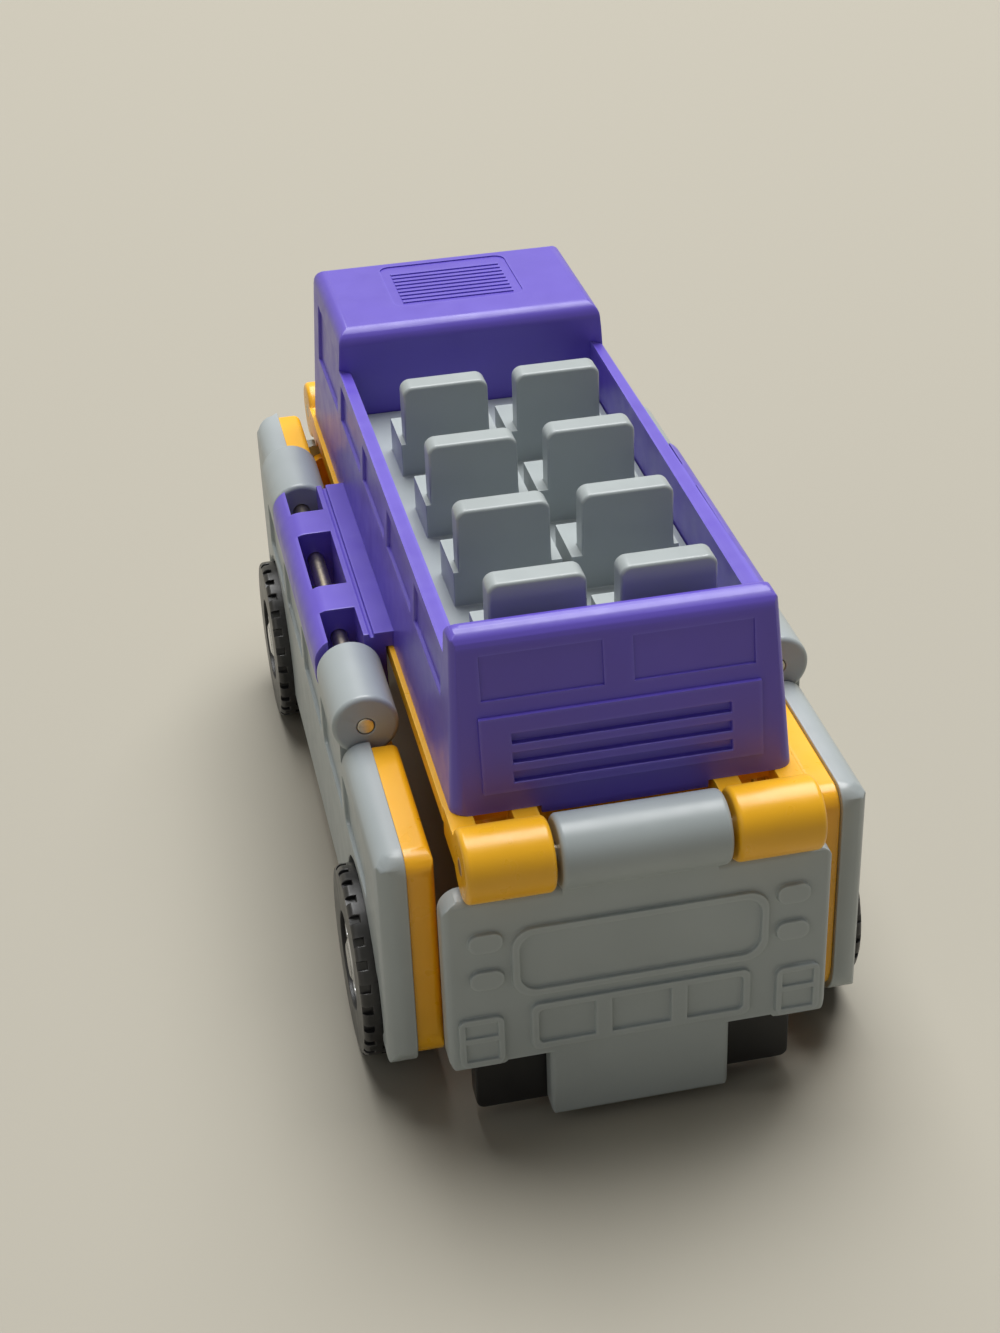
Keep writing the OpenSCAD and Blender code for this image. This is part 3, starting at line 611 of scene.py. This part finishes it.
def tread_cutter(low, high):
    """Notches along both rims of a wheel that turns on an axis along X. The corners are in mm."""
    centre, radius = (low + high) / 2, (high.z - low.z) / 2
    reach = radius - NOTCH_DEPTH + NOTCH_SIZE.z / 2
    blocks = []
    for rim, x in enumerate((low.x, high.x)):
        for i in range(NOTCHES):
            angle = 2 * math.pi * (i + rim / 2) / NOTCHES
            place = Vector((x, centre.y + reach * math.sin(angle), centre.z + reach * math.cos(angle)))
            bpy.ops.object.select_all(action="DESELECT")
            bpy.ops.mesh.primitive_cube_add(size=1, location=place * MM, rotation=(-angle, 0, 0))
            bpy.context.object.scale = (2 * NOTCH_SIZE.x * MM, NOTCH_SIZE.y * MM, NOTCH_SIZE.z * MM)
            bpy.ops.object.transform_apply()
            blocks.append(bpy.context.object)
    return joined(blocks)


for node in sorted(frame["nodes"]):
    if node.endswith(("wheel_outer", "wheel_inner")):
        tyre = copy_of(node)
        combine(tyre, tread_cutter(*box_mm(node)), "DIFFERENCE")
        round_edges(tyre, FINE / 2, steps=1)
        finish_piece(tyre, node)

# %% [markdown]
# A hub cap is a bright plated disc with a ring of holes, through which the dark wheel shows. The holes could
# be dark spots in the plating, but real ones keep their depth from every side, so they are cut through.

# %% Hub caps
HUB_HOLES = 6
HUB_HOLE_R = 0.75
# How far out the holes lie, as a share of the cap's radius.
HUB_RING = 0.68
HOLE_SIDES = 24
HOLE_SPARE = 2


def hole_cutter(low, high):
    """A ring of round holes through both caps of a wheel. The corners are in mm."""
    centre, radius = (low + high) / 2, (high.z - low.z) / 2
    length = high.x - low.x + HOLE_SPARE
    holes = []
    for i in range(HUB_HOLES):
        angle = 2 * math.pi * i / HUB_HOLES
        ring = Vector((0, math.sin(angle), math.cos(angle))) * radius * HUB_RING
        bpy.ops.object.select_all(action="DESELECT")
        bpy.ops.mesh.primitive_cylinder_add(vertices=HOLE_SIDES, radius=HUB_HOLE_R * MM, depth=length * MM,
                                            location=(centre + ring) * MM, rotation=(0, math.pi / 2, 0))
        bpy.ops.object.transform_apply()
        holes.append(bpy.context.object)
    return joined(holes)


for node in sorted(frame["nodes"]):
    if node.endswith("hubcaps"):
        caps = copy_of(node)
        combine(caps, hole_cutter(*box_mm(node)), "DIFFERENCE")
        round_edges(caps, FINE / 2)
        finish_piece(caps, node)

# %% [markdown]
# Axles, pins and screws are turned or cut from wire, with a small chamfer at each end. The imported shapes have
# their full form, so one fine rounding does for all of them.

# %% Turned pieces
for node in sorted(frame["nodes"]):
    if node.endswith(("axle", "pin", "screws")):
        piece = copy_of(node)
        round_edges(piece, FINE, steps=3)
        finish_piece(piece, node)

# %% [markdown]
# The bus stands on a plain floor in a pale warm grey. A glossy floor would mirror the bus and draw the eye,
# and a matt one only takes its soft shadow.

# %% Floor
FLOOR_HALF = 1.5
bpy.ops.object.select_all(action="DESELECT")
bpy.ops.mesh.primitive_plane_add(size=2 * FLOOR_HALF)
floor = bpy.context.object
floor.name = "studio_floor"
# Matt paint: a wide even tone with no highlight.
floor_paint, _, floor_shader = new_material("matt_floor_paint")
floor_shader.inputs["Base Color"].default_value = linear("#ADA89A")
floor_shader.inputs["Roughness"].default_value = 0.7
floor.data.materials.append(floor_paint)
print("floor of", 2 * FLOOR_HALF, "m in", floor_paint.name)

# %% [markdown]
# The light is that of a room with one broad lamp. It is high and beyond the front of the bus, so the roof is
# the brightest face and the rear lies in gentle shade. A weak second lamp opens the shadows on the left. A
# bright sky could do this alone, but it would leave no direction in the light. So the air gives little light,
# and only the camera and bright reflections see it as a pale backdrop.

# %% Light
LIGHT_AIM = Vector((0, 0, 0.03))


def soft_light(name, place, size, power):
    """A square area light at a place in metres that shines at the bus."""
    lamp = bpy.data.lights.new(name, "AREA")
    lamp.size = size
    lamp.energy = power
    holder = bpy.data.objects.new(name, lamp)
    bpy.context.scene.collection.objects.link(holder)
    holder.location = place
    holder.rotation_euler = (LIGHT_AIM - Vector(place)).to_track_quat("-Z", "Y").to_euler()
    print(name, "of", power, "W")


soft_light("key_light", place=(0.2, 0.56, 1.5), size=1.3, power=38)
soft_light("fill_light", place=(-1.2, -0.8, 1.0), size=1.2, power=2.0)
world = bpy.data.worlds.new("studio_air")
bpy.context.scene.world = world
world.use_nodes = True
air = world.node_tree
light_air = air.nodes["Background"]
light_air.inputs["Color"].default_value = linear("#F2F3F5")
light_air.inputs["Strength"].default_value = 0.1
seen_air = add(air, "ShaderNodeBackground", Color=linear("#C9C5B8"), Strength=1.0)
path = add(air, "ShaderNodeLightPath")
seen = add(air, "ShaderNodeMath", {"operation": "MAXIMUM"}, i0=path.outputs["Is Camera Ray"],
           i1=path.outputs["Is Glossy Ray"])
either = add(air, "ShaderNodeMixShader", i0=seen.outputs["Value"], i1=light_air.outputs["Background"],
             i2=seen_air.outputs["Background"])
air.links.new(either.outputs["Shader"], air.nodes["World Output"].inputs["Surface"])

# %% [markdown]
# The camera stands where the photographer's stood: behind the bus, a little to its left and well above it. It
# could be placed by eye, but its place, angles and focal length were worked out from the corners of the body
# and the grid of seats in the photo, so the picture lies over it. The angles are in degrees.

# %% Camera
IMAGE_LONG_SIDE = 1333
FOCAL_PIXELS = 2179.23
SENSOR_WIDTH = 36
NEAR_LIMIT = 0.01
CAMERA_AZIMUTH, CAMERA_ELEVATION, CAMERA_ROLL = -10.958, 31.78, -2.267
CAMERA_PLACE = Vector((-38.809, -187.654, 138.836)) * MM
azimuth, elevation, roll = (math.radians(v) for v in (CAMERA_AZIMUTH, CAMERA_ELEVATION, CAMERA_ROLL))
back = Vector((math.sin(azimuth) * math.cos(elevation), -math.cos(azimuth) * math.cos(elevation),
               math.sin(elevation)))
level_right = Vector((math.cos(azimuth), math.sin(azimuth), 0))
level_up = back.cross(level_right)
right = math.cos(roll) * level_right + math.sin(roll) * level_up
up = math.cos(roll) * level_up - math.sin(roll) * level_right
lens = bpy.data.cameras.new("photo_camera")
lens.sensor_width = SENSOR_WIDTH
lens.lens = SENSOR_WIDTH * FOCAL_PIXELS / IMAGE_LONG_SIDE
lens.clip_start = NEAR_LIMIT
camera = bpy.data.objects.new("photo_camera", lens)
bpy.context.scene.collection.objects.link(camera)
turn = Matrix((right, up, back)).transposed().to_4x4()
camera.matrix_world = Matrix.Translation(CAMERA_PLACE) @ turn
bpy.context.scene.camera = camera
bpy.context.scene.view_settings.view_transform = "Standard"
print("lens of", round(lens.lens, 1), "mm,", round(CAMERA_PLACE.length / MM), "mm from the floor's middle")
